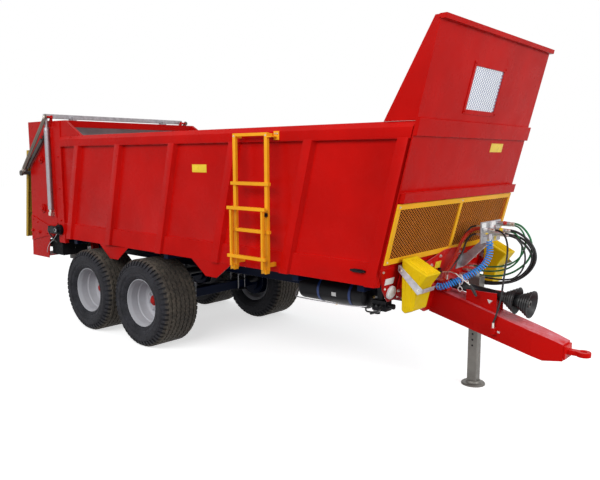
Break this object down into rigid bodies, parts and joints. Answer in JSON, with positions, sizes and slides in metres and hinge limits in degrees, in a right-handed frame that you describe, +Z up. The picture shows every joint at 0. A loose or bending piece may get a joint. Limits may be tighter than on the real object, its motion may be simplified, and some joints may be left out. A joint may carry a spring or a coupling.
{
  "type": "manure spreader",
  "caption": "Tandem-axle manure spreader with leaning-rib load body, scraper floor, guillotine door, beaters and discs under a lift-up cover, ladder and drawbar on its jack.",
  "frame": {"origin": "middle of the whole machine's length, on the centreline, on the ground under the tyres", "axes": "+X forward to the towing eye, +Y to the machine's left, +Z up"},
  "size_m": [8.03, 2.592, 3.44],
  "materials": {
    "red": "gloss red paint",
    "yellow": "yellow-orange paint",
    "chock": "bright yellow plastic",
    "navy": "navy paint",
    "black": "black paint",
    "silver": "silver paint",
    "galvanised": "galvanised",
    "steel": "dark bare steel",
    "grey": "grey paint",
    "chrome": "hard chrome",
    "tyre": "black tyre rubber",
    "rubber": "black hose rubber",
    "blue": "blue air coil",
    "green": "green hydraulic hose",
    "lamp": "white lamp lens"
  },
  "bodies": {
    "machine": {"axle_front": "navy", "axle_rear": "navy", "suspension": "black", "chassis_frame": "navy", "floor_panel": "red", "scraper_chain": "steel", "scraper_return": "steel", "drive_shaft": "steel", "idler_shaft": "steel", "side_wall_right": "red", "side_wall_left": "red", "front_wall": "red", "grille": "yellow", "headboard": "red", "rear_portal": "red", "door_barrel_right": "galvanised", "door_barrel_left": "galvanised", "unit_frame": "red", "disc_gearbox": "steel", "driveline": "steel", "ladder_upper": "yellow", "drawbar": "red", "towing_eye": "red", "jack": "steel", "chock_right": "chock", "chock_left": "chock", "air_tank": "black", "front_lamp_right": "lamp", "front_lamp_left": "lamp", "floor_drive": "black", "pto_shaft": "black", "hose_rack": "galvanised", "brake_valve": "black", "hose_upper": "rubber", "hose_lower": "rubber", "hose_far": "rubber", "hose_green": "green", "air_coil": "blue", "hose_drop": "rubber"},
    "wheel_front_right": {"tyre_front_right": "tyre", "rim_front_right": "silver"},
    "wheel_front_left": {"tyre_front_left": "tyre", "rim_front_left": "silver"},
    "wheel_rear_right": {"tyre_rear_right": "tyre", "rim_rear_right": "silver"},
    "wheel_rear_left": {"tyre_rear_left": "tyre", "rim_rear_left": "silver"},
    "slurry_door": {"slurry_door": "grey", "door_crossbar": "galvanised"},
    "rear_cover": {"rear_cover": "yellow"},
    "beater_upper": {"beater_upper": "steel"},
    "beater_lower": {"beater_lower": "steel"},
    "disc_right": {"disc_right": "grey"},
    "disc_left": {"disc_left": "grey"},
    "ladder_lower": {"ladder_lower": "yellow"},
    "cover_barrel_right": {"cover_barrel_right": "galvanised"},
    "cover_rod_right": {"cover_rod_right": "chrome"},
    "cover_barrel_left": {"cover_barrel_left": "galvanised"},
    "cover_rod_left": {"cover_rod_left": "chrome"}
  },
  "joints": [
    {"name": "wheel_front_right_spin", "type": "hinge", "parent": "machine", "child": "wheel_front_right", "pos_m": [-0.915, -0.975, 0.55], "axis": [0, 1, 0], "continuous": true},
    {"name": "wheel_front_left_spin", "type": "hinge", "parent": "machine", "child": "wheel_front_left", "pos_m": [-0.915, 0.975, 0.55], "axis": [0, 1, 0], "continuous": true},
    {"name": "wheel_rear_right_spin", "type": "hinge", "parent": "machine", "child": "wheel_rear_right", "pos_m": [-2.115, -0.975, 0.55], "axis": [0, 1, 0], "continuous": true},
    {"name": "wheel_rear_left_spin", "type": "hinge", "parent": "machine", "child": "wheel_rear_left", "pos_m": [-2.115, 0.975, 0.55], "axis": [0, 1, 0], "continuous": true},
    {"name": "slurry_door_lift", "type": "slide", "parent": "machine", "child": "slurry_door", "axis": [0, 0, 1], "range_m": [0, 1.05]},
    {"name": "rear_cover_hinge", "type": "hinge", "parent": "machine", "child": "rear_cover", "pos_m": [-2.98, 0, 2.905], "axis": [0, 1, 0], "range_deg": [0, 85]},
    {"name": "cover_barrel_right_pivot", "type": "hinge", "parent": "machine", "child": "cover_barrel_right", "pos_m": [-3.175, -1.19, 2.62], "axis": [0, 1, 0], "range_deg": [-1, 99]},
    {"name": "cover_rod_right_slide", "type": "slide", "parent": "cover_barrel_right", "child": "cover_rod_right", "axis": [-0.7698, 0, -0.6383], "range_m": [-0.002, 0.43]},
    {"name": "cover_barrel_left_pivot", "type": "hinge", "parent": "machine", "child": "cover_barrel_left", "pos_m": [-3.175, 1.19, 2.62], "axis": [0, 1, 0], "range_deg": [-1, 99]},
    {"name": "cover_rod_left_slide", "type": "slide", "parent": "cover_barrel_left", "child": "cover_rod_left", "axis": [-0.7698, 0, -0.6383], "range_m": [-0.002, 0.43]},
    {"name": "beater_lower_spin", "type": "hinge", "parent": "machine", "child": "beater_lower", "pos_m": [-3.345, 0, 1.6], "axis": [0, 1, 0], "continuous": true},
    {"name": "beater_upper_spin", "type": "hinge", "parent": "machine", "child": "beater_upper", "pos_m": [-3.345, 0, 2.32], "axis": [0, 1, 0], "continuous": true},
    {"name": "disc_right_spin", "type": "hinge", "parent": "machine", "child": "disc_right", "pos_m": [-3.535, -0.52, 1], "axis": [0, 0, 1], "continuous": true},
    {"name": "disc_left_spin", "type": "hinge", "parent": "machine", "child": "disc_left", "pos_m": [-3.535, 0.52, 1], "axis": [0, 0, 1], "continuous": true},
    {"name": "ladder_fold", "type": "hinge", "parent": "machine", "child": "ladder_lower", "pos_m": [1.0925, -1.29, 1.215], "axis": [1, 0, 0], "range_deg": [0, 178]}
  ],
  "couplings": [
    {"joint": "cover_barrel_right_pivot", "follows": "rear_cover_hinge", "ratio": 1.1456},
    {"joint": "cover_rod_right_slide", "follows": "rear_cover_hinge", "m_per_rad": 0.2859},
    {"joint": "cover_barrel_left_pivot", "follows": "rear_cover_hinge", "ratio": 1.1456},
    {"joint": "cover_rod_left_slide", "follows": "rear_cover_hinge", "m_per_rad": 0.2859}
  ]
}
